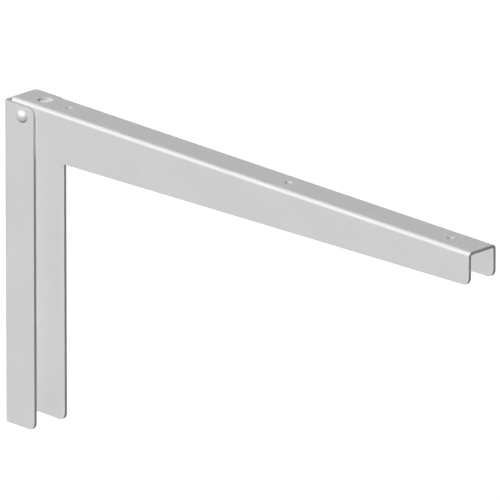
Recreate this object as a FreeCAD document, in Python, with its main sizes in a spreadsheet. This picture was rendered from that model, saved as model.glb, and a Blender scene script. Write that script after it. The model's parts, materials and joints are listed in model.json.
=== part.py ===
import FreeCAD, Part
import math
import os

import Sketcher

# Folding drop leaf bracket. A folded wall channel carries a folded, tapered support arm on one riveted
# pivot. The arm's side walls have slots, so that the arm can ride clear of the channel as it folds down.
#
# Frame: X runs out from the wall, which is the plane X = 0; Y runs across the bracket and is 0 in its
# middle; Z is up and is 0 half way up the channel, at the centre of the wall screws. Sizes are in mm.

SIZES = {
    # Sheet that both folded pieces are made of.
    "sheet_thickness": 2.0,
    "bend_inside": 1.0,
    # Wall channel.
    "channel_width": 28.0,
    "channel_height": 210.0,
    "flange_depth": 26.5,
    "flange_corner": 5.0,
    "wall_hole": 5.5,
    # Support arm. Its reach is measured from the wall, its rise from the top of the flanges.
    "arm_reach": 400.0,
    "arm_root_height": 33.6,
    "arm_tip_height": 21.2,
    "arm_tip_corner": 5.0,
    "arm_heel": 19.0,
    "arm_rise": 1.95,
    "arm_end_gap": 2.4,
    "side_gap": 0.5,
    "fold_gap": 2.25,
    # Holes in the arm's top. The near leaf hole is placed from the wall, the far one from the arm's tip,
    # the middle one from the far one, and the access hole from the pivot.
    "leaf_hole": 4.5,
    "near_leaf_setback": 43.9,
    "far_leaf_inset": 26.7,
    "leaf_hole_pitch": 138.8,
    "access_hole": 9.5,
    "access_offset": 6.0,
    # Pivot. The setback is measured from the wall, the drop from the top of the flanges.
    "pivot_setback": 16.8,
    "pivot_drop": 6.6,
    "rivet_shank": 5.0,
    "rivet_head": 9.0,
    "rivet_head_height": 3.3,
    "rivet_tail": 8.4,
    "rivet_tail_height": 1.6,
    "sleeve_wall": 0.7,
    "washer_rim": 2.7,
    "running_clearance": 0.05,
}

# Sizes that follow from the driving ones.
INNER_WIDTH = "(Sizes.channel_width - 2 * Sizes.sheet_thickness)"
CHANNEL_TOP = "(Sizes.channel_height / 2)"
PIVOT_HEIGHT = f"({CHANNEL_TOP} - Sizes.pivot_drop)"
WALL_HOLE_HEIGHT = f"({PIVOT_HEIGHT} - Sizes.access_offset)"
ARM_START = "(Sizes.sheet_thickness + Sizes.arm_end_gap)"
ARM_LENGTH = f"(Sizes.arm_reach - {ARM_START})"
ARM_WIDTH = f"({INNER_WIDTH} - 2 * Sizes.side_gap)"
PIVOT_ALONG_ARM = f"(Sizes.pivot_setback - {ARM_START})"
PIVOT_BELOW_ARM_TOP = "(Sizes.pivot_drop + Sizes.arm_rise)"
NEAR_LEAF_HOLE = f"(Sizes.near_leaf_setback - {ARM_START})"
FAR_LEAF_HOLE = f"({ARM_LENGTH} - Sizes.far_leaf_inset)"
MIDDLE_LEAF_HOLE = f"({FAR_LEAF_HOLE} - Sizes.leaf_hole_pitch)"
PIVOT_TO_WEB = "(Sizes.pivot_setback - Sizes.sheet_thickness)"
SLOT_TRAVEL = f"(Sizes.arm_root_height - {PIVOT_BELOW_ARM_TOP} - {PIVOT_TO_WEB} + Sizes.fold_gap)"
SLEEVE_BORE = "(Sizes.rivet_shank + 2 * Sizes.running_clearance)"
SLEEVE_OUTSIDE = f"({SLEEVE_BORE} + 2 * Sizes.sleeve_wall)"
SLEEVE_LENGTH = f"({INNER_WIDTH} - 2 * Sizes.running_clearance)"
SLOT_WIDTH = f"({SLEEVE_OUTSIDE} + 2 * Sizes.running_clearance)"
WASHER_THICKNESS = "(Sizes.side_gap - 2 * Sizes.running_clearance)"
WASHER_OUTSIDE = f"({SLOT_WIDTH} + 2 * Sizes.washer_rim)"
WASHER_OFFSET = f"({ARM_WIDTH} / 2 + Sizes.side_gap / 2)"

# Sketcher's codes for the origin, the two axes and the points of a curve.
ORIGIN, ACROSS, UPWARD = -1, -1, -2
START, END, CENTRE = 1, 2, 3
TOUCH = 1e-4


def make_sheet(doc):
    """Put every driving size in the spreadsheet, under its own alias."""
    sheet = doc.addObject("Spreadsheet::Sheet", "Sizes")
    for row, (alias, size) in enumerate(SIZES.items(), start=1):
        sheet.set(f"A{row}", alias)
        sheet.set(f"B{row}", str(size))
        sheet.setAlias(f"B{row}", alias)
    doc.recompute()
    return sheet


def value(doc, formula):
    """The present value of a formula over the spreadsheet's sizes."""
    return float(doc.Sizes.evalExpression(formula))


def make_body(doc, label, place=("0", "0", "0")):
    """Start a sub-part whose own origin is placed by three formulas."""
    body = doc.addObject("PartDesign::Body", label)
    body.Label = label
    for axis, formula in zip("xyz", place):
        body.setExpression(f"Placement.Base.{axis}", formula)
    doc.recompute()
    return body


def make_sketch(body, name, role):
    """Start a sketch on one of the body's own origin planes."""
    plane = next(item for item in body.Origin.OriginFeatures if item.Role == role)
    sketch = body.newObject("Sketcher::SketchObject", name)
    sketch.AttachmentSupport = [(plane, "")]
    sketch.MapMode = "FlatFace"
    return sketch


def drive(sketch, name, formula, kind, *where):
    """Add a dimension to a sketch and bind it to a formula."""
    size = value(sketch.Document, formula)
    sketch.addConstraint(Sketcher.Constraint(kind, *where, size))
    sketch.renameConstraint(sketch.ConstraintCount - 1, name)
    sketch.setExpression(f"Constraints.{name}", formula)


def add_line(sketch, start, end):
    """Add a straight edge between two sketch points."""
    return sketch.addGeometry(Part.LineSegment(FreeCAD.Vector(*start), FreeCAD.Vector(*end)))


def add_arc(sketch, centre, radius, first, last):
    """Add an arc about a sketch point, anticlockwise between two angles."""
    circle = Part.Circle(FreeCAD.Vector(*centre), FreeCAD.Vector(0, 0, 1), radius)
    return sketch.addGeometry(Part.ArcOfCircle(circle, first, last))


def join(sketch, kind, *pairs):
    """Join pairs of curve ends, either touching or touching and smooth."""
    for pair in pairs:
        sketch.addConstraint(Sketcher.Constraint(kind, *pair))


def level(sketch, kind, *lines):
    """Set lines along one of the sketch's axes."""
    for line in lines:
        sketch.addConstraint(Sketcher.Constraint(kind, line))


def draw_fold(sketch, width, depth):
    """Draw the section of a sheet folded to a U: its web on the upward axis, its legs to the right."""
    doc = sketch.Document
    thick = value(doc, "Sizes.sheet_thickness")
    inside = value(doc, "Sizes.bend_inside")
    half, reach, outside = value(doc, width) / 2, value(doc, depth), inside + thick
    flat = half - outside
    web_out = add_line(sketch, (0, -flat), (0, flat))
    top_out = add_line(sketch, (outside, half), (reach, half))
    top_end = add_line(sketch, (reach, half), (reach, half - thick))
    top_in = add_line(sketch, (reach, half - thick), (outside, half - thick))
    web_in = add_line(sketch, (thick, flat), (thick, -flat))
    low_in = add_line(sketch, (outside, thick - half), (reach, thick - half))
    low_end = add_line(sketch, (reach, thick - half), (reach, -half))
    low_out = add_line(sketch, (reach, -half), (outside, -half))
    top_bend = add_arc(sketch, (outside, flat), outside, math.pi / 2, math.pi)
    top_bend_in = add_arc(sketch, (outside, flat), inside, math.pi / 2, math.pi)
    low_bend_in = add_arc(sketch, (outside, -flat), inside, math.pi, 1.5 * math.pi)
    low_bend = add_arc(sketch, (outside, -flat), outside, math.pi, 1.5 * math.pi)
    join(
        sketch,
        "Tangent",
        (top_bend, END, web_out, END),
        (top_bend, START, top_out, START),
        (top_bend_in, START, top_in, END),
        (top_bend_in, END, web_in, START),
        (low_bend_in, START, web_in, END),
        (low_bend_in, END, low_in, START),
        (low_bend, START, web_out, START),
        (low_bend, END, low_out, END),
    )
    join(
        sketch,
        "Coincident",
        (top_out, END, top_end, START),
        (top_end, END, top_in, START),
        (low_in, END, low_end, START),
        (low_end, END, low_out, START),
        (top_bend, CENTRE, top_bend_in, CENTRE),
        (low_bend, CENTRE, low_bend_in, CENTRE),
    )
    level(sketch, "Vertical", web_out, web_in, top_end, low_end)
    level(sketch, "Horizontal", top_out, top_in, low_in, low_out)
    sketch.addConstraint(Sketcher.Constraint("Equal", top_bend, low_bend))
    sketch.addConstraint(Sketcher.Constraint("Symmetric", top_out, END, low_out, START, ACROSS))
    sketch.addConstraint(Sketcher.Constraint("PointOnObject", web_out, START, UPWARD))
    drive(sketch, "width", width, "DistanceY", low_out, START, top_out, END)
    drive(sketch, "depth", depth, "DistanceX", ORIGIN, START, top_out, END)
    drive(sketch, "thickness", "Sizes.sheet_thickness", "DistanceY", top_end, END, top_end, START)
    drive(sketch, "bend", "Sizes.bend_inside", "Radius", top_bend_in)


def draw_hole(sketch, name, diameter, across=None, upward=None):
    """Draw a round hole; a place that isn't given lies on that axis."""
    doc = sketch.Document
    at = [value(doc, formula) if formula else 0.0 for formula in (across, upward)]
    circle = Part.Circle(FreeCAD.Vector(*at), FreeCAD.Vector(0, 0, 1), value(doc, diameter) / 2)
    hole = sketch.addGeometry(circle)
    drive(sketch, f"{name}_size", diameter, "Diameter", hole)
    for formula, kind, axis in ((across, "DistanceX", UPWARD), (upward, "DistanceY", ACROSS)):
        if formula:
            drive(sketch, f"{name}_{kind}", formula, kind, ORIGIN, START, hole, CENTRE)
        else:
            sketch.addConstraint(Sketcher.Constraint("PointOnObject", hole, CENTRE, axis))


def add_pad(body, sketch, name, length, symmetric=False):
    """Raise a sketch to a solid."""
    pad = body.newObject("PartDesign::Pad", name)
    pad.Profile = sketch
    pad.SideType = "Symmetric" if symmetric else "One side"
    pad.setExpression("Length", length)
    body.Document.recompute()
    return pad


def add_cut(body, sketch, name, both_ways=True, reverse=False):
    """Cut a sketch through the sub-part, and make sure that something went."""
    before = body.Shape.Volume
    cut = body.newObject("PartDesign::Pocket", name)
    cut.Profile = sketch
    cut.Type = "ThroughAll"
    cut.SideType = "Symmetric" if both_ways else "One side"
    cut.Reversed = reverse
    body.Document.recompute()
    if body.Shape.Volume >= before:
        raise RuntimeError(f"{name} cut nothing")
    return cut


def round_corners(body, name, radius, along, height):
    """Round the corner edges that cross the bracket at a place along and a height in the body's frame."""
    base = body.Tip
    x, z = value(body.Document, along), value(body.Document, height)
    edges = []
    for number, edge in enumerate(base.Shape.Edges, start=1):
        box = edge.BoundBox
        if max(abs(box.XMin - x), abs(box.XMax - x), abs(box.ZMin - z), abs(box.ZMax - z)) < TOUCH:
            edges.append(f"Edge{number}")
    fillet = body.newObject("PartDesign::Fillet", name)
    fillet.Base = (base, edges)
    fillet.setExpression("Radius", radius)
    body.Document.recompute()
    return fillet


def make_wall_channel(doc):
    """The upright channel: a folded sheet with screw holes in its web and rivet holes in its flanges."""
    body = make_body(doc, "wall_channel")
    section = make_sketch(body, "channel_section", "XY_Plane")
    draw_fold(section, "Sizes.channel_width", "Sizes.flange_depth")
    add_pad(body, section, "channel_fold", "Sizes.channel_height", symmetric=True)
    round_corners(body, "top_corners", "Sizes.flange_corner", "Sizes.flange_depth", CHANNEL_TOP)
    round_corners(body, "foot_corners", "Sizes.flange_corner", "Sizes.flange_depth", f"-{CHANNEL_TOP}")
    rivet_hole = make_sketch(body, "rivet_hole", "XZ_Plane")
    draw_hole(rivet_hole, "rivet", SLEEVE_BORE, "Sizes.pivot_setback", PIVOT_HEIGHT)
    add_cut(body, rivet_hole, "rivet_holes")
    wall_holes = make_sketch(body, "wall_hole_line", "YZ_Plane")
    draw_hole(wall_holes, "top", "Sizes.wall_hole", upward=WALL_HOLE_HEIGHT)
    draw_hole(wall_holes, "middle", "Sizes.wall_hole")
    draw_hole(wall_holes, "foot", "Sizes.wall_hole", upward=f"-{WALL_HOLE_HEIGHT}")
    add_cut(body, wall_holes, "wall_holes", both_ways=False, reverse=True)
    return body


def draw_taper(sketch):
    """Draw the wedge that is cut from under the arm, from nothing at its root to its full cut at the tip."""
    doc = sketch.Document
    length = value(doc, ARM_LENGTH)
    root, tip = value(doc, "-Sizes.arm_root_height"), value(doc, "-Sizes.arm_tip_height")
    slope = add_line(sketch, (0, root), (length, tip))
    end = add_line(sketch, (length, tip), (length, root))
    base = add_line(sketch, (length, root), (0, root))
    join(
        sketch,
        "Coincident",
        (slope, END, end, START),
        (end, END, base, START),
        (base, END, slope, START),
    )
    level(sketch, "Vertical", end)
    level(sketch, "Horizontal", base)
    sketch.addConstraint(Sketcher.Constraint("PointOnObject", slope, START, UPWARD))
    drive(sketch, "length", ARM_LENGTH, "DistanceX", ORIGIN, START, end, END)
    drive(sketch, "root", "-Sizes.arm_root_height", "DistanceY", ORIGIN, START, slope, START)
    drive(sketch, "tip", "-Sizes.arm_tip_height", "DistanceY", ORIGIN, START, slope, END)


def draw_slot(sketch):
    """Draw the upright slot: its top end sits on the pivot while the arm is level."""
    doc = sketch.Document
    x, top = value(doc, PIVOT_ALONG_ARM), -value(doc, PIVOT_BELOW_ARM_TOP)
    low, radius = top - value(doc, SLOT_TRAVEL), value(doc, SLOT_WIDTH) / 2
    upper = add_arc(sketch, (x, top), radius, 0, math.pi)
    lower = add_arc(sketch, (x, low), radius, math.pi, 2 * math.pi)
    left = add_line(sketch, (x - radius, top), (x - radius, low))
    right = add_line(sketch, (x + radius, low), (x + radius, top))
    join(
        sketch,
        "Tangent",
        (upper, END, left, START),
        (left, END, lower, START),
        (lower, END, right, START),
        (right, END, upper, START),
    )
    level(sketch, "Vertical", left)
    drive(sketch, "along", PIVOT_ALONG_ARM, "DistanceX", ORIGIN, START, upper, CENTRE)
    drive(sketch, "drop", f"-{PIVOT_BELOW_ARM_TOP}", "DistanceY", ORIGIN, START, upper, CENTRE)
    drive(sketch, "travel", SLOT_TRAVEL, "DistanceY", lower, CENTRE, upper, CENTRE)
    drive(sketch, "width", f"{SLOT_WIDTH} / 2", "Radius", upper)


def make_support_arm(doc):
    """The arm: a folded sheet, open below, tapered, rounded at heel and tip, slotted and drilled."""
    body = make_body(doc, "support_arm", (ARM_START, "0", f"{CHANNEL_TOP} + Sizes.arm_rise"))
    section = make_sketch(body, "arm_section", "YZ_Plane")
    legs_down = FreeCAD.Rotation(FreeCAD.Vector(0, 0, 1), -90)
    section.AttachmentOffset = FreeCAD.Placement(FreeCAD.Vector(), legs_down)
    draw_fold(section, ARM_WIDTH, "Sizes.arm_root_height")
    add_pad(body, section, "arm_fold", ARM_LENGTH)
    taper = make_sketch(body, "taper_wedge", "XZ_Plane")
    draw_taper(taper)
    add_cut(body, taper, "taper")
    round_corners(body, "tip_corners", "Sizes.arm_tip_corner", ARM_LENGTH, "-Sizes.arm_tip_height")
    round_corners(body, "heel", "Sizes.arm_heel", "0", "-Sizes.arm_root_height")
    slot = make_sketch(body, "slot_outline", "XZ_Plane")
    draw_slot(slot)
    add_cut(body, slot, "slots")
    holes = make_sketch(body, "top_hole_line", "XY_Plane")
    draw_hole(holes, "access", "Sizes.access_hole", f"{PIVOT_ALONG_ARM} + Sizes.access_offset")
    draw_hole(holes, "near_leaf", "Sizes.leaf_hole", NEAR_LEAF_HOLE)
    draw_hole(holes, "middle_leaf", "Sizes.leaf_hole", MIDDLE_LEAF_HOLE)
    draw_hole(holes, "far_leaf", "Sizes.leaf_hole", FAR_LEAF_HOLE)
    add_cut(body, holes, "top_holes", both_ways=False)
    return body


def add_cap(sketch, side, edge, height):
    """Draw a domed end of the rivet, from its rim to the axis, on one side of the bracket."""
    doc = sketch.Document
    rim, rise, seat = value(doc, edge) / 2, value(doc, height), value(doc, "Sizes.channel_width") / 2
    radius = (rim**2 + rise**2) / (2 * rise)
    centre = side * (seat + rise - radius)
    lean = math.asin(rim / radius)
    middle = side * math.pi / 2
    first, last = (middle, middle + lean) if side < 0 else (middle - lean, middle)
    cap = add_arc(sketch, (0, centre), radius, first, last)
    sketch.addConstraint(Sketcher.Constraint("PointOnObject", cap, CENTRE, UPWARD))
    rim_end, crown_end = (END, START) if side < 0 else (START, END)
    sketch.addConstraint(Sketcher.Constraint("PointOnObject", cap, crown_end, UPWARD))
    return cap, rim_end, crown_end


def make_pivot_rivet(doc):
    """The rivet: a domed head in front, a plain shank and a flatter formed tail behind."""
    body = make_body(doc, "pivot_rivet", ("Sizes.pivot_setback", "0", PIVOT_HEIGHT))
    sketch = make_sketch(body, "rivet_half", "XY_Plane")
    half = value(doc, "Sizes.channel_width") / 2
    shank = value(doc, "Sizes.rivet_shank") / 2
    head = value(doc, "Sizes.rivet_head") / 2
    tail = value(doc, "Sizes.rivet_tail") / 2
    head_cap, head_rim, head_crown = add_cap(sketch, -1, "Sizes.rivet_head", "Sizes.rivet_head_height")
    tail_cap, tail_rim, tail_crown = add_cap(sketch, 1, "Sizes.rivet_tail", "Sizes.rivet_tail_height")
    head_seat = add_line(sketch, (head, -half), (shank, -half))
    side = add_line(sketch, (shank, -half), (shank, half))
    tail_seat = add_line(sketch, (shank, half), (tail, half))
    top = half + value(doc, "Sizes.rivet_tail_height")
    foot = -half - value(doc, "Sizes.rivet_head_height")
    axis = add_line(sketch, (0, top), (0, foot))
    join(
        sketch,
        "Coincident",
        (head_cap, head_rim, head_seat, START),
        (head_seat, END, side, START),
        (side, END, tail_seat, START),
        (tail_seat, END, tail_cap, tail_rim),
        (tail_cap, tail_crown, axis, START),
        (axis, END, head_cap, head_crown),
    )
    level(sketch, "Horizontal", head_seat, tail_seat)
    level(sketch, "Vertical", side)
    drive(sketch, "shank", "Sizes.rivet_shank / 2", "DistanceX", ORIGIN, START, side, START)
    drive(sketch, "head", "Sizes.rivet_head / 2", "DistanceX", ORIGIN, START, head_seat, START)
    drive(sketch, "tail", "Sizes.rivet_tail / 2", "DistanceX", ORIGIN, START, tail_seat, END)
    drive(sketch, "front_seat", "-Sizes.channel_width / 2", "DistanceY", ORIGIN, START, side, START)
    drive(sketch, "rear_seat", "Sizes.channel_width / 2", "DistanceY", ORIGIN, START, side, END)
    drive(sketch, "head_height", "Sizes.rivet_head_height", "DistanceY", axis, END, side, START)
    drive(sketch, "tail_height", "Sizes.rivet_tail_height", "DistanceY", side, END, axis, START)
    turned = body.newObject("PartDesign::Revolution", "rivet_turned")
    turned.Profile = sketch
    turned.ReferenceAxis = (sketch, ["V_Axis"])
    doc.recompute()
    return body


def make_ring(doc, label, outside, bore, length, across="0"):
    """A plain ring on the pivot's axis: the sleeve and both washers are made this way."""
    body = make_body(doc, label, ("Sizes.pivot_setback", across, PIVOT_HEIGHT))
    sketch = make_sketch(body, f"{label}_rings", "XZ_Plane")
    draw_hole(sketch, "outside", outside)
    draw_hole(sketch, "bore", bore)
    add_pad(body, sketch, f"{label}_pad", length, symmetric=True)
    return body


def check(doc, pieces):
    """Stop if a feature failed or a sub-part isn't one sound solid."""
    failed = [item.Name for item in doc.Objects if {"Invalid", "Error"} & set(item.State)]
    if failed:
        raise RuntimeError(f"failed features: {failed}")
    for piece in pieces:
        shape = piece.Shape
        if shape.isNull() or not shape.isValid() or len(shape.Solids) != 1:
            raise RuntimeError(f"{piece.Label} is not one valid solid")


def main():
    """Build the bracket and write one file for each sub-part."""
    doc = FreeCAD.newDocument("drop_leaf_bracket")
    make_sheet(doc)
    pieces = [
        make_wall_channel(doc),
        make_support_arm(doc),
        make_pivot_rivet(doc),
        make_ring(doc, "pivot_sleeve", SLEEVE_OUTSIDE, SLEEVE_BORE, SLEEVE_LENGTH),
        make_ring(doc, "front_washer", WASHER_OUTSIDE, SLOT_WIDTH, WASHER_THICKNESS, f"-{WASHER_OFFSET}"),
        make_ring(doc, "rear_washer", WASHER_OUTSIDE, SLOT_WIDTH, WASHER_THICKNESS, WASHER_OFFSET),
    ]
    doc.recompute()
    check(doc, pieces)
    os.makedirs("parts", exist_ok=True)
    for piece in pieces:
        piece.Shape.exportStep(f"parts/{piece.Label}.step")
        box = piece.Shape.BoundBox
        print(f"{piece.Label}: {box.XLength:.2f} x {box.YLength:.2f} x {box.ZLength:.2f} mm,"
              f" {piece.Shape.Volume:.1f} mm3")


main()
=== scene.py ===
import json
import logging
import math
from contextlib import contextmanager
from dataclasses import dataclass, field
from enum import Enum
from typing import Callable, Iterator

import bmesh
import bpy
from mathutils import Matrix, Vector


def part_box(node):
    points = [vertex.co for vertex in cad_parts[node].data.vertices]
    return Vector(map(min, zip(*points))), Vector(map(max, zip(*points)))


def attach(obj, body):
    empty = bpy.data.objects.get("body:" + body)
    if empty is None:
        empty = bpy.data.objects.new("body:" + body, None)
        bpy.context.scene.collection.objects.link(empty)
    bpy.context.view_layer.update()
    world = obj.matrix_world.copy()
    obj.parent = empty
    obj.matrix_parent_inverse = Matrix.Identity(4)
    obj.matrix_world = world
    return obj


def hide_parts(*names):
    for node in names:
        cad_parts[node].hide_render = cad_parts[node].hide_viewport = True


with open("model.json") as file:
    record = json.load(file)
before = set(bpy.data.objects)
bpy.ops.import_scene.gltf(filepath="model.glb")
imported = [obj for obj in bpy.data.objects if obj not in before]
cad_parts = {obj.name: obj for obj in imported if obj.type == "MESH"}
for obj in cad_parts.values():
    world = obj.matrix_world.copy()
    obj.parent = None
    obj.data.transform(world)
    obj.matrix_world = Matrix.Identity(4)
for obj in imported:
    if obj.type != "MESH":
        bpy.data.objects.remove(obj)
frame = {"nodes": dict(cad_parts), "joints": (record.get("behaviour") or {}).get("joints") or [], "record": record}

# Looks of a folding drop leaf bracket: two folded and coated steel sheets on one riveted pivot.
# Lengths are in metres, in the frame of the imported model: X out from the wall, Y across, Z up.

LOG = logging.getLogger("drop_leaf_bracket")
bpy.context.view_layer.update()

MM = 0.001
# A vertex this close to a place counts as being there
NEAR = 0.02 * MM
MERGE_DISTANCE = 0.001 * MM
QUARTER_TURN = math.pi / 2.0
SHARP_EDGE = math.radians(40.0)
LARGE_FACES_FIRST = 100
ROUND_PROFILE = 0.5
INWARDS = -1.0
PUNCH_PER_THICKNESS = 4.0
PUNCH_PER_WIDTH = 2.0

MOUNTS = {mount["name"]: mount for mount in frame["record"]["mounts"]}
JOINTS = {joint["name"]: joint for joint in frame["joints"]}
PIVOT = Vector(JOINTS["fold"]["pos_m"])
SLOT_TRAVEL = max(JOINTS["slot_slide"]["range_m"])

WHITE = (1.0, 1.0, 1.0, 1.0)
# Nearly all values of a noise texture lie in this span
NOISE_SPAN = (0.3, 0.7)
FULL_SPAN = (0.0, 1.0)
BROAD_DETAIL = 3.0
FINE_DETAIL = 2.0

PlaceTest = Callable[[Vector], bool]
Triple = tuple[float, float, float]
Span = tuple[float, float]


class Side(Enum):
    """The two sides of the bracket, by the sign of Y."""

    FRONT = -1
    REAR = 1


class Axis(Enum):
    """Ways that a punch may run or a sheet may look, with the turn that lays it so."""

    ALONG = (0.0, QUARTER_TURN, 0.0)
    ACROSS = (QUARTER_TURN, 0.0, 0.0)
    UP = (0.0, 0.0, 0.0)


class Effect(Enum):
    """What a lamp does to the surfaces that it reaches."""

    FULL = "light, gloss and shadow"
    EVEN = "light and gloss, but no shadow"
    LIGHT = "light and shadow, but no gloss"
    GLOSS = "gloss alone"


# Modelling helpers


def deselect_all() -> None:
    """Deselect every object, so that the next primitive is selected alone."""
    bpy.ops.object.select_all(action="DESELECT")


def select_only(piece: bpy.types.Object) -> None:
    """Deselect everything, then select one object and make it active.

    Args:
        piece: The object that the next operator acts on.
    """
    deselect_all()
    piece.select_set(True)
    bpy.context.view_layer.objects.active = piece


@contextmanager
def editing(piece: bpy.types.Object) -> Iterator[None]:
    """Hold an object in edit mode while its mesh is shaped.

    Args:
        piece: The mesh object to shape.

    Returns:
        A context in which the object is in edit mode.
    """
    select_only(piece)
    bpy.ops.object.mode_set(mode="EDIT")
    bpy.ops.mesh.select_mode(type="VERT")
    yield
    bpy.ops.object.mode_set(mode="OBJECT")


def pick(piece: bpy.types.Object, test: PlaceTest) -> None:
    """Select the vertices that pass a test, and the edges and faces between them.

    Args:
        piece: The mesh object, in edit mode.
        test: Takes a vertex's place and says whether it is wanted.
    """
    mesh = bmesh.from_edit_mesh(piece.data)
    for part in (*mesh.faces, *mesh.edges, *mesh.verts):
        part.select = False
    for vertex in mesh.verts:
        if test(vertex.co):
            vertex.select = True
    mesh.select_flush_mode()
    bmesh.update_edit_mesh(piece.data)


def apply_modifier(piece: bpy.types.Object, modifier: bpy.types.Modifier) -> None:
    """Apply a modifier to its object for good."""
    select_only(piece)
    bpy.ops.object.modifier_apply(modifier=modifier.name)


def settle(piece: bpy.types.Object) -> None:
    """Move an object's place, turn and scale into its mesh."""
    select_only(piece)
    bpy.ops.object.transform_apply(location=True, rotation=True, scale=True)


def break_edges(piece: bpy.types.Object, width: float, steps: int) -> None:
    """Soften the sharp edges, and shade the bends smooth and the flats even.

    Args:
        piece: The closed piece to finish.
        width: The width of the broken edges.
        steps: How many facets round each.
    """
    soft = piece.modifiers.new("edge_break", "BEVEL")
    soft.width = width
    soft.segments = steps
    soft.limit_method = "ANGLE"
    soft.angle_limit = SHARP_EDGE
    soft.use_clamp_overlap = False
    apply_modifier(piece, soft)
    select_only(piece)
    bpy.ops.object.shade_smooth()
    even = piece.modifiers.new("even_flats", "WEIGHTED_NORMAL")
    even.weight = LARGE_FACES_FIRST
    even.keep_sharp = False
    apply_modifier(piece, even)


def at_width(y: float) -> PlaceTest:
    """A test that picks the vertices at one place across the bracket."""
    return lambda place: abs(place.y - y) < NEAR


def ball_radius(rim: float, rise: float) -> float:
    """The radius of the ball that a dome with this rim and rise is cut from."""
    return (rim**2 + rise**2) / (2.0 * rise)


@dataclass
class Punch:
    """A round punch, or one drawn out to a slot, that cuts a hole through a sheet."""

    centre: Vector
    radius: float
    axis: Axis
    length: float
    drawn_down: float = 0.0
    round_steps: int = 96

    def tool(self) -> bpy.types.Object:
        """Make the punch as a cylinder whose lower half is moved down by the slot's travel.

        Returns:
            The cutting object.
        """
        deselect_all()
        bpy.ops.mesh.primitive_cylinder_add(
            vertices=self.round_steps,
            radius=self.radius,
            depth=self.length,
            location=self.centre,
            rotation=self.axis.value,
        )
        tool = bpy.context.active_object
        settle(tool)
        if self.drawn_down:
            with editing(tool):
                pick(tool, lambda place: place.z < self.centre.z - NEAR)
                bpy.ops.transform.translate(value=(0.0, 0.0, -self.drawn_down))
        return tool

    def cut(self, piece: bpy.types.Object) -> None:
        """Cut the hole and throw the punch away.

        Args:
            piece: The sheet to cut.
        """
        tool = self.tool()
        difference = piece.modifiers.new("hole", "BOOLEAN")
        difference.operation = "DIFFERENCE"
        difference.solver = "EXACT"
        difference.object = tool
        apply_modifier(piece, difference)
        bpy.data.objects.remove(tool)


# Finishes


def even_grey(level: float) -> Triple:
    """A colour with no hue."""
    return (level, level, level)


class Shading:
    """A node material that is being made: its node tree and its surface shader."""

    def __init__(self, name: str) -> None:
        """Start the material.

        Args:
            name: The finish's name.
        """
        self.material = bpy.data.materials.new(name)
        self.material.use_nodes = True
        self.tree = self.material.node_tree
        self.shader = self.tree.nodes["Principled BSDF"]

    def fix(self, socket: str, value: float | tuple[float, ...]) -> None:
        """Set a shader socket that is the same all over the surface."""
        self.shader.inputs[socket].default_value = value

    def drive(self, socket: str, source: bpy.types.NodeSocket) -> None:
        """Link a shader socket to what varies over the surface."""
        self.tree.links.new(source, self.shader.inputs[socket])

    def object_place(self) -> bpy.types.NodeSocket:
        """Places in the piece's own frame."""
        return self.tree.nodes.new("ShaderNodeTexCoord").outputs["Object"]

    def noise(self, cells_per_metre: float, detail: float) -> bpy.types.NodeSocket:
        """Noise that is fixed to the piece.

        Args:
            cells_per_metre: How fine the noise is.
            detail: How many finer layers it has.

        Returns:
            The noise's factor socket.
        """
        noise = self.tree.nodes.new("ShaderNodeTexNoise")
        noise.inputs["Scale"].default_value = cells_per_metre
        noise.inputs["Detail"].default_value = detail
        self.tree.links.new(self.object_place(), noise.inputs["Vector"])
        return noise.outputs["Fac"]

    def spread(self, factor: bpy.types.NodeSocket, span: Span) -> bpy.types.NodeSocket:
        """Stretch a noise factor over a range of values.

        Args:
            factor: The noise, which stays near the middle of 0 to 1.
            span: The values for the noise's low and high ends.

        Returns:
            The stretched value's socket.
        """
        stretch = self.tree.nodes.new("ShaderNodeMapRange")
        stretch.inputs["From Min"].default_value, stretch.inputs["From Max"].default_value = NOISE_SPAN
        stretch.inputs["To Min"].default_value, stretch.inputs["To Max"].default_value = span
        self.tree.links.new(factor, stretch.inputs["Value"])
        return stretch.outputs["Result"]

    def mix(self, factor: bpy.types.NodeSocket, low: Triple, high: Triple) -> bpy.types.NodeSocket:
        """Run a factor through a colour ramp between two colours.

        Args:
            factor: The socket that chooses between the two.
            low: The colour at 0.
            high: The colour at 1.

        Returns:
            The ramp's colour socket.
        """
        ramp = self.tree.nodes.new("ShaderNodeValToRGB")
        ramp.color_ramp.elements[0].color = (*low, 1.0)
        ramp.color_ramp.elements[1].color = (*high, 1.0)
        self.tree.links.new(factor, ramp.inputs["Fac"])
        return ramp.outputs["Color"]


@dataclass(frozen=True)
class PowderCoat:
    """A satin baked coat: nearly even grey, with a fine orange peel."""

    name: str = "light_grey_powder_coat"
    grey: float = 0.60
    cloud: float = 0.012
    metallic: float = 0.06
    roughness: Span = (0.33, 0.38)
    cloud_per_metre: float = 28.0
    gloss_per_metre: float = 260.0
    peel_per_metre: float = 1500.0
    peel_height: float = 0.004 * MM

    def material(self) -> bpy.types.Material:
        """Build the finish's material.

        Returns:
            The material. Its metallic share alone gives the gloss, so that edges seen at a slant stay dark.
        """
        shading = Shading(self.name)
        cloud = shading.spread(shading.noise(self.cloud_per_metre, BROAD_DETAIL), FULL_SPAN)
        low, high = even_grey(self.grey - self.cloud), even_grey(self.grey + self.cloud)
        shading.drive("Base Color", shading.mix(cloud, low, high))
        gloss = shading.noise(self.gloss_per_metre, FINE_DETAIL)
        shading.drive("Roughness", shading.spread(gloss, self.roughness))
        bump = shading.tree.nodes.new("ShaderNodeBump")
        bump.inputs["Distance"].default_value = self.peel_height
        bump.inputs["Strength"].default_value = 1.0
        peel = shading.noise(self.peel_per_metre, FINE_DETAIL)
        shading.tree.links.new(peel, bump.inputs["Height"])
        shading.drive("Normal", bump.outputs["Normal"])
        shading.fix("Metallic", self.metallic)
        shading.fix("Specular IOR Level", 0.0)
        return shading.material


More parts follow.
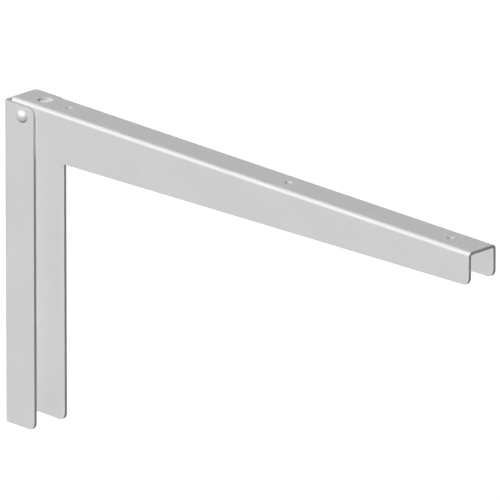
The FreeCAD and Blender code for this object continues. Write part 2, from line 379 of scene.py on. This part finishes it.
@dataclass(frozen=True)
class TurnedMetal:
    """Plated steel with fine marks round the pivot's axis."""

    name: str = "bright_plated_steel"
    grey: float = 0.62
    mark_depth: float = 0.03
    roughness: Span = (0.24, 0.36)
    marks_per_metre: float = 900.0
    mark_wander: float = 2.0
    gloss_per_metre: float = 400.0

    def material(self) -> bpy.types.Material:
        """Build the finish's material.

        Returns:
            The material.
        """
        shading = Shading(self.name)
        marks = shading.tree.nodes.new("ShaderNodeTexWave")
        marks.wave_type = "BANDS"
        marks.bands_direction = "Y"
        marks.inputs["Scale"].default_value = self.marks_per_metre
        marks.inputs["Distortion"].default_value = self.mark_wander
        shading.tree.links.new(shading.object_place(), marks.inputs["Vector"])
        low, high = even_grey(self.grey - self.mark_depth), even_grey(self.grey + self.mark_depth)
        shading.drive("Base Color", shading.mix(marks.outputs["Fac"], low, high))
        gloss = shading.noise(self.gloss_per_metre, FINE_DETAIL)
        shading.drive("Roughness", shading.spread(gloss, self.roughness))
        shading.fix("Metallic", 1.0)
        return shading.material


@dataclass(frozen=True)
class PalePlastic:
    """Moulded plastic with a faint mottle."""

    name: str = "pale_washer_plastic"
    low: Triple = (0.66, 0.65, 0.62)
    high: Triple = (0.74, 0.73, 0.70)
    roughness: Span = (0.45, 0.58)
    mottle_per_metre: float = 320.0
    gloss_per_metre: float = 700.0

    def material(self) -> bpy.types.Material:
        """Build the finish's material.

        Returns:
            The material.
        """
        shading = Shading(self.name)
        mottle = shading.spread(shading.noise(self.mottle_per_metre, BROAD_DETAIL), FULL_SPAN)
        shading.drive("Base Color", shading.mix(mottle, self.low, self.high))
        gloss = shading.noise(self.gloss_per_metre, FINE_DETAIL)
        shading.drive("Roughness", shading.spread(gloss, self.roughness))
        return shading.material


SHEET_COAT = PowderCoat()
RIVET_COAT = PowderCoat(
    name="smooth_rivet_coat",
    grey=0.54,
    cloud=0.008,
    metallic=0.18,
    roughness=(0.45, 0.50),
    peel_per_metre=900.0,
    peel_height=0.001 * MM,
)


def cover(piece: bpy.types.Object, material: bpy.types.Material) -> None:
    """Give a new piece or a CAD node one finish all over."""
    piece.data.materials.clear()
    piece.data.materials.append(material)


# Pieces


@dataclass
class Piece:
    """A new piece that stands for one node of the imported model."""

    name: str
    node: str
    body: str
    slot: str
    edge_break: float
    edge_steps: int = 3
    low: Vector = field(init=False)
    high: Vector = field(init=False)
    piece: bpy.types.Object = field(init=False)

    def __post_init__(self) -> None:
        """Take the piece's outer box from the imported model."""
        self.low, self.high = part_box(self.node)

    def take_primitive(self) -> None:
        """Take the primitive that was just added as the start of the piece."""
        self.piece = bpy.context.active_object
        self.piece.name = self.piece.data.name = self.name

    def dress(self, material: bpy.types.Material) -> None:
        """Cover the piece, and let it stand for its node and ride on its body.

        Args:
            material: The piece's finish.
        """
        cover(self.piece, material)
        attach(self.piece, self.body)
        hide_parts(self.node)

    def report(self) -> None:
        """Log the piece's name and size."""
        LOG.info("%s has %d faces", self.name, len(self.piece.data.polygons))


@dataclass
class FoldedSheet(Piece):
    """A sheet that is folded to a U section: a web, two bends and two legs."""

    slot: str = "coated_steel"
    edge_break: float = 0.12 * MM
    thickness: float = 2.0 * MM
    bend_inside: float = 1.0 * MM
    bend_steps: int = 14
    corner_steps: int = 14

    @property
    def bend_outside(self) -> float:
        """The radius of a bend's outer face."""
        return self.bend_inside + self.thickness

    @property
    def width(self) -> float:
        """The width over both legs."""
        return self.high.y - self.low.y

    @property
    def flat(self) -> float:
        """The width of the flat web between the bends."""
        return self.width - 2.0 * self.bend_outside

    @property
    def web_reach(self) -> float:
        """The length of a punch that goes through the web alone."""
        return PUNCH_PER_THICKNESS * self.thickness

    @property
    def legs_reach(self) -> float:
        """The length of a punch that goes through both legs."""
        return PUNCH_PER_WIDTH * self.width

    def lay_web(self, centre: Vector, length: float, looks: Axis) -> None:
        """Lay the flat web, on the sheet's outer face.

        Args:
            centre: The middle of the web's outer face.
            length: The web's length.
            looks: The axis that the web's face is square to.
        """
        deselect_all()
        bpy.ops.mesh.primitive_plane_add(size=1.0, location=centre, rotation=looks.value)
        self.take_primitive()
        self.piece.scale = (length, self.flat, 1.0)
        settle(self.piece)

    def fold_legs(self, bend: Vector, axis: Vector, leg: Vector) -> None:
        """Fold both long edges of the web round their bends and draw the legs out of them.

        Args:
            bend: The height or depth of both bends' centres, in the middle plane.
            axis: The bends' axis.
            leg: The way from a bend to its leg's free edge.
        """
        for side in Side:
            y = side.value * self.flat / 2.0
            with editing(self.piece):
                pick(self.piece, at_width(y))
                bpy.ops.mesh.spin(
                    steps=self.bend_steps,
                    angle=side.value * QUARTER_TURN,
                    center=(bend.x, y, bend.z),
                    axis=axis,
                )
                bpy.ops.mesh.extrude_edges_move(TRANSFORM_OT_translate={"value": leg})

    def round_corners(self, corner: PlaceTest, radius: float) -> None:
        """Round free corners of the legs.

        Args:
            corner: Picks the corner vertices.
            radius: The radius of the round.
        """
        with editing(self.piece):
            pick(self.piece, corner)
            bpy.ops.mesh.bevel(
                affect="VERTICES",
                offset=radius,
                segments=self.corner_steps,
                profile=ROUND_PROFILE,
            )

    def thicken(self, outward: Vector) -> None:
        """Give the sheet its thickness, inwards from the outer face.

        Args:
            outward: The way that the web's outer face looks.
        """
        with editing(self.piece):
            bpy.ops.mesh.select_all(action="SELECT")
            bpy.ops.mesh.remove_doubles(threshold=MERGE_DISTANCE)
            bpy.ops.mesh.normals_make_consistent(inside=False)
            faces = bmesh.from_edit_mesh(self.piece.data).faces
            web = max(faces, key=lambda face: abs(face.normal.dot(outward)))
            if web.normal.dot(outward) < 0.0:
                bpy.ops.mesh.flip_normals()
        wall = self.piece.modifiers.new("wall", "SOLIDIFY")
        wall.thickness = self.thickness
        wall.offset = INWARDS
        wall.use_even_offset = True
        apply_modifier(self.piece, wall)


@dataclass
class WallChannel(FoldedSheet):
    """The upright channel that is screwed to the wall."""

    name: str = "folded_wall_channel"
    node: str = "wall_channel"
    body: str = "wall"
    flange_corner: float = 5.0 * MM
    rivet_hole: float = 2.55 * MM

    def build(self) -> None:
        """Fold the channel, then punch its screw and rivet holes."""
        height, middle = self.high.z - self.low.z, (self.low.z + self.high.z) / 2.0
        self.lay_web(Vector((0.0, 0.0, middle)), height, Axis.ALONG)
        bend = Vector((self.bend_outside, 0.0, 0.0))
        leg = Vector((self.high.x - self.bend_outside, 0.0, 0.0))
        self.fold_legs(bend, Vector((0.0, 0.0, 1.0)), leg)
        self.round_corners(lambda place: place.x > self.high.x - NEAR, self.flange_corner)
        self.thicken(Vector((-1.0, 0.0, 0.0)))
        self.punch()
        break_edges(self.piece, self.edge_break, self.edge_steps)

    def punch(self) -> None:
        """Cut the wall screw holes through the web and the rivet hole through both flanges."""
        screws = MOUNTS["wall_screws"]
        span = screws["dims"]["spacing_y_mm"] * MM / 2.0
        centre = Vector(screws["pos_m"])
        radius = screws["dims"]["hole_r_mm"] * MM
        for offset in (-span, 0.0, span):
            place = centre + Vector((0.0, 0.0, offset))
            Punch(place, radius, Axis.ALONG, self.web_reach).cut(self.piece)
        Punch(PIVOT, self.rivet_hole, Axis.ACROSS, self.legs_reach).cut(self.piece)


@dataclass
class SupportArm(FoldedSheet):
    """The tapered arm that props up the leaf."""

    name: str = "folded_support_arm"
    node: str = "support_arm"
    body: str = "arm"
    tip_height: float = 21.2 * MM
    root_height: float = 33.6 * MM
    tip_corner: float = 5.0 * MM
    heel: float = 19.0 * MM
    slot_width: float = 6.6 * MM
    access_hole: float = 9.5 * MM
    access_offset: float = 6.0 * MM

    @property
    def top(self) -> float:
        """The height of the arm's top face."""
        return self.high.z

    def build(self) -> None:
        """Fold the arm, taper it and round its heel and tip, then punch its slots and holes."""
        length = self.high.x - self.low.x
        self.lay_web(Vector((self.low.x + length / 2.0, 0.0, self.top)), length, Axis.UP)
        bend = Vector((0.0, 0.0, self.top - self.bend_outside))
        leg = Vector((0.0, 0.0, self.bend_outside - self.root_height))
        self.fold_legs(bend, Vector((1.0, 0.0, 0.0)), leg)
        self.taper()
        self.round_corners(lambda place: self.at_foot(place) and self.at_tip(place), self.tip_corner)
        self.round_corners(lambda place: self.at_foot(place) and self.at_root(place), self.heel)
        self.thicken(Vector((0.0, 0.0, 1.0)))
        self.punch()
        break_edges(self.piece, self.edge_break, self.edge_steps)

    def at_foot(self, place: Vector) -> bool:
        """Whether a vertex is at the legs' lower edge."""
        return place.z < self.top - self.tip_height + NEAR

    def at_tip(self, place: Vector) -> bool:
        """Whether a vertex is at the arm's free end."""
        return place.x > self.high.x - NEAR

    def at_root(self, place: Vector) -> bool:
        """Whether a vertex is at the arm's wall end."""
        return place.x < self.low.x + NEAR

    def taper(self) -> None:
        """Raise the legs' lower edges at the tip."""
        foot = self.top - self.root_height
        with editing(self.piece):
            pick(self.piece, lambda place: self.at_tip(place) and place.z < foot + NEAR)
            bpy.ops.transform.translate(value=(0.0, 0.0, self.root_height - self.tip_height))

    def punch(self) -> None:
        """Cut the leaf screw holes and the access hole through the top, and the slots through both legs."""
        screws, middle = MOUNTS["leaf_screws"], MOUNTS["middle_leaf_screw"]
        span = screws["dims"]["spacing_x_mm"] * MM / 2.0
        radius = screws["dims"]["hole_r_mm"] * MM
        holes = [(screws["pos_m"][0] + offset, radius) for offset in (-span, span)]
        holes.append((middle["pos_m"][0], middle["dims"]["r_mm"] * MM))
        holes.append((PIVOT.x + self.access_offset, self.access_hole / 2.0))
        for x, size in holes:
            Punch(Vector((x, 0.0, self.top)), size, Axis.UP, self.web_reach).cut(self.piece)
        slot = Punch(PIVOT, self.slot_width / 2.0, Axis.ACROSS, self.legs_reach, drawn_down=SLOT_TRAVEL)
        slot.cut(self.piece)


@dataclass
class PivotRivet(Piece):
    """The rivet: a domed head in front, a plain shank and a flatter formed tail behind."""

    name: str = "domed_pivot_rivet"
    node: str = "pivot_rivet"
    body: str = "wall"
    slot: str = "rivet_steel"
    edge_break: float = 0.15 * MM
    shank: float = 2.5 * MM
    tail: float = 4.2 * MM
    round_steps: int = 72
    tail_steps: int = 10
    seat: float = field(init=False)

    def __post_init__(self) -> None:
        """Take the rivet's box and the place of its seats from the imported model."""
        super().__post_init__()
        self.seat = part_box("wall_channel")[1].y

    def build(self) -> None:
        """Cut the head's dome from a ball, then draw the shank and the tail out of its seat."""
        head = (self.high.x - self.low.x) / 2.0
        ball = ball_radius(head, -self.seat - self.low.y)
        deselect_all()
        bpy.ops.mesh.primitive_uv_sphere_add(
            segments=self.round_steps,
            ring_count=self.round_steps,
            radius=ball,
            location=(PIVOT.x, self.low.y + ball, PIVOT.z),
            rotation=Axis.ACROSS.value,
        )
        self.take_primitive()
        settle(self.piece)
        with editing(self.piece):
            bpy.ops.mesh.select_all(action="SELECT")
            bpy.ops.mesh.bisect(
                plane_co=(PIVOT.x, -self.seat, PIVOT.z),
                plane_no=(0.0, 1.0, 0.0),
                use_fill=True,
                clear_outer=True,
            )
            pick(self.piece, lambda place: place.y > -self.seat - NEAR)
            self.step(0.0, self.shank / head)
            self.step(2.0 * self.seat, 1.0)
            self.step(0.0, self.tail / self.shank)
            self.form_tail()
        break_edges(self.piece, self.edge_break, self.edge_steps)

    def form_tail(self) -> None:
        """Draw the tail's low dome out of its seat, ring by ring."""
        ball = ball_radius(self.tail, self.high.y - self.seat)
        lean = math.asin(self.tail / ball)
        rings = [lean * (1.0 - step / self.tail_steps) for step in range(self.tail_steps)]
        for outer, inner in zip(rings, rings[1:]):
            self.step(ball * (math.cos(inner) - math.cos(outer)), math.sin(inner) / math.sin(outer))

    def step(self, forward: float, scale: float) -> None:
        """Extrude the picked face towards the rear and scale it about the rivet's axis."""
        bpy.ops.mesh.extrude_region_move(TRANSFORM_OT_translate={"value": (0.0, forward, 0.0)})
        bpy.ops.transform.resize(value=(scale, 1.0, scale), center_override=PIVOT)


@dataclass
class PivotSpacers:
    """The sleeve and the washers on the rivet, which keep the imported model's meshes."""

    sleeve: str = "pivot_sleeve"
    washers: tuple[str, str] = ("front_washer", "rear_washer")

    def dress(self, plated: bpy.types.Material, plastic: bpy.types.Material) -> None:
        """Cover the sleeve and the washers.

        Args:
            plated: The sleeve's finish.
            plastic: The washers' finish.
        """
        cover(frame["nodes"][self.sleeve], plated)
        for washer in self.washers:
            cover(frame["nodes"][washer], plastic)

    def report(self) -> None:
        """Log each node's name and size."""
        for node in (self.sleeve, *self.washers):
            LOG.info("%s has %d faces", node, len(frame["nodes"][node].data.polygons))


# Studio


@dataclass(frozen=True)
class Lamp:
    """A distant soft lamp. At level 1 it lights a white face that looks at it to white."""

    name: str
    towards: Triple
    level: float
    spread_deg: float
    effect: Effect = Effect.FULL

    def add(self) -> None:
        """Hang the lamp."""
        data = bpy.data.lights.new(self.name, "SUN")
        data.energy = self.level * math.pi
        data.angle = math.radians(self.spread_deg)
        data.use_shadow = self.effect is not Effect.EVEN
        lamp = bpy.data.objects.new(self.name, data)
        lamp.rotation_euler = (-Vector(self.towards)).to_track_quat("-Z", "Y").to_euler()
        bpy.context.scene.collection.objects.link(lamp)
        lamp.visible_diffuse = self.effect is not Effect.GLOSS
        lamp.visible_glossy = self.effect is not Effect.LIGHT


# Most of the key light is even, so that shadows on the bracket stay faint.
# The gloss lamps show only as sheen, along the bends and on the rivet's crown.
LAMPS = (
    Lamp("key", (0.155, -0.810, 0.566), 0.07, 25.0),
    Lamp("even_key", (0.155, -0.810, 0.566), 1.09, 25.0, Effect.EVEN),
    Lamp("back_light", (-0.62, 0.78, 0.07), 0.76, 7.0, Effect.LIGHT),
    Lamp("sheen_light", (-0.66, -0.50, 0.56), 0.95, 50.0, Effect.GLOSS),
    Lamp("crown_light", (0.36, -0.66, 0.66), 0.90, 60.0, Effect.GLOSS),
)


def seen(tree: bpy.types.NodeTree) -> bpy.types.NodeSocket:
    """A factor that is 1 for what the camera, a reflection or a clear view sees.

    Args:
        tree: The node tree of the floor or the world.

    Returns:
        The factor's socket.
    """
    path = tree.nodes.new("ShaderNodeLightPath")
    total = path.outputs["Is Camera Ray"]
    for name in ("Is Glossy Ray", "Is Transmission Ray"):
        larger = tree.nodes.new("ShaderNodeMath")
        larger.operation = "MAXIMUM"
        tree.links.new(total, larger.inputs[0])
        tree.links.new(path.outputs[name], larger.inputs[1])
        total = larger.outputs["Value"]
    return total


def clear_underside(shading: Shading) -> None:
    """Let a view from below look through a sheet.

    Args:
        shading: The material of the sheet's upper side.
    """
    tree = shading.tree
    side = tree.nodes.new("ShaderNodeNewGeometry")
    clear = tree.nodes.new("ShaderNodeBsdfTransparent")
    either = tree.nodes.new("ShaderNodeMixShader")
    tree.links.new(side.outputs["Backfacing"], either.inputs["Fac"])
    tree.links.new(shading.shader.outputs["BSDF"], either.inputs[1])
    tree.links.new(clear.outputs["BSDF"], either.inputs[2])
    tree.links.new(either.outputs["Shader"], tree.nodes["Material Output"].inputs["Surface"])


@dataclass
class Studio:
    """The floor, the light and the camera. The lens and its sensor are in millimetres."""

    floor_height: float = -0.42
    floor_size: float = 30.0
    floor_grey: float = 0.15
    floor_glow: float = 0.94
    fill: float = 0.05
    azimuth_deg: float = 45.39
    elevation_deg: float = 19.84
    target_mm: Triple = (201.05, 0.21, 54.82)
    frame_width: float = 304.0 * MM
    lens: float = 1500.0
    sensor: float = 36.0
    clip_ratio: float = 3.0

    def build(self) -> None:
        """Set up the whole studio."""
        bpy.context.scene.view_settings.view_transform = "Standard"
        self.add_camera()
        self.add_world()
        self.add_floor()
        for lamp in LAMPS:
            lamp.add()

    def add_camera(self) -> None:
        """Set up a long lens, which shows the bracket almost without perspective."""
        data = bpy.data.cameras.new("camera")
        data.lens = self.lens
        data.sensor_width = self.sensor
        camera = bpy.data.objects.new("camera", data)
        bpy.context.scene.collection.objects.link(camera)
        around, up = math.radians(self.azimuth_deg), math.radians(self.elevation_deg)
        back = Vector((math.sin(around) * math.cos(up), -math.cos(around) * math.cos(up), math.sin(up)))
        distance = self.frame_width * self.lens / self.sensor
        camera.location = Vector(self.target_mm) * MM + back * distance
        camera.rotation_euler = (-back).to_track_quat("-Z", "Y").to_euler()
        data.clip_end = self.clip_ratio * distance
        bpy.context.scene.camera = camera

    def add_world(self) -> None:
        """Surround the bracket with white to look at, and with less of it as fill light."""
        world = bpy.data.worlds.new("studio")
        bpy.context.scene.world = world
        world.use_nodes = True
        tree = world.node_tree
        background = tree.nodes["Background"]
        background.inputs["Color"].default_value = WHITE
        strength = tree.nodes.new("ShaderNodeMapRange")
        strength.inputs["To Min"].default_value = self.fill
        strength.inputs["To Max"].default_value = 1.0
        tree.links.new(seen(tree), strength.inputs["Value"])
        tree.links.new(strength.outputs["Result"], background.inputs["Strength"])

    def add_floor(self) -> None:
        """Lay a pale floor well below the bracket and its folded arm."""
        deselect_all()
        bpy.ops.mesh.primitive_plane_add(size=self.floor_size, location=(0.0, 0.0, self.floor_height))
        floor = bpy.context.active_object
        floor.name = "floor"
        settle(floor)
        shading = Shading("pale_floor")
        shading.fix("Base Color", (*even_grey(self.floor_grey), 1.0))
        shading.fix("Roughness", 1.0)
        shading.fix("Specular IOR Level", 0.0)
        shading.fix("Emission Color", WHITE)
        glow = shading.tree.nodes.new("ShaderNodeMath")
        glow.operation = "MULTIPLY"
        glow.inputs[1].default_value = self.floor_glow
        shading.tree.links.new(seen(shading.tree), glow.inputs[0])
        shading.drive("Emission Strength", glow.outputs["Value"])
        clear_underside(shading)
        cover(floor, shading.material)


def main() -> None:
    """Build the studio and the pieces in order."""
    logging.basicConfig(level=logging.INFO, format="%(name)s: %(message)s")
    Studio().build()
    sheet_coat = SHEET_COAT.material()
    rivet_coat = RIVET_COAT.material()
    plated, plastic = TurnedMetal().material(), PalePlastic().material()
    for piece, finish in (
        (WallChannel(), sheet_coat),
        (SupportArm(), sheet_coat),
        (PivotRivet(), rivet_coat),
    ):
        piece.build()
        piece.dress(finish)
        piece.report()
    spacers = PivotSpacers()
    spacers.dress(plated, plastic)
    spacers.report()


if __name__ == "__main__":
    main()
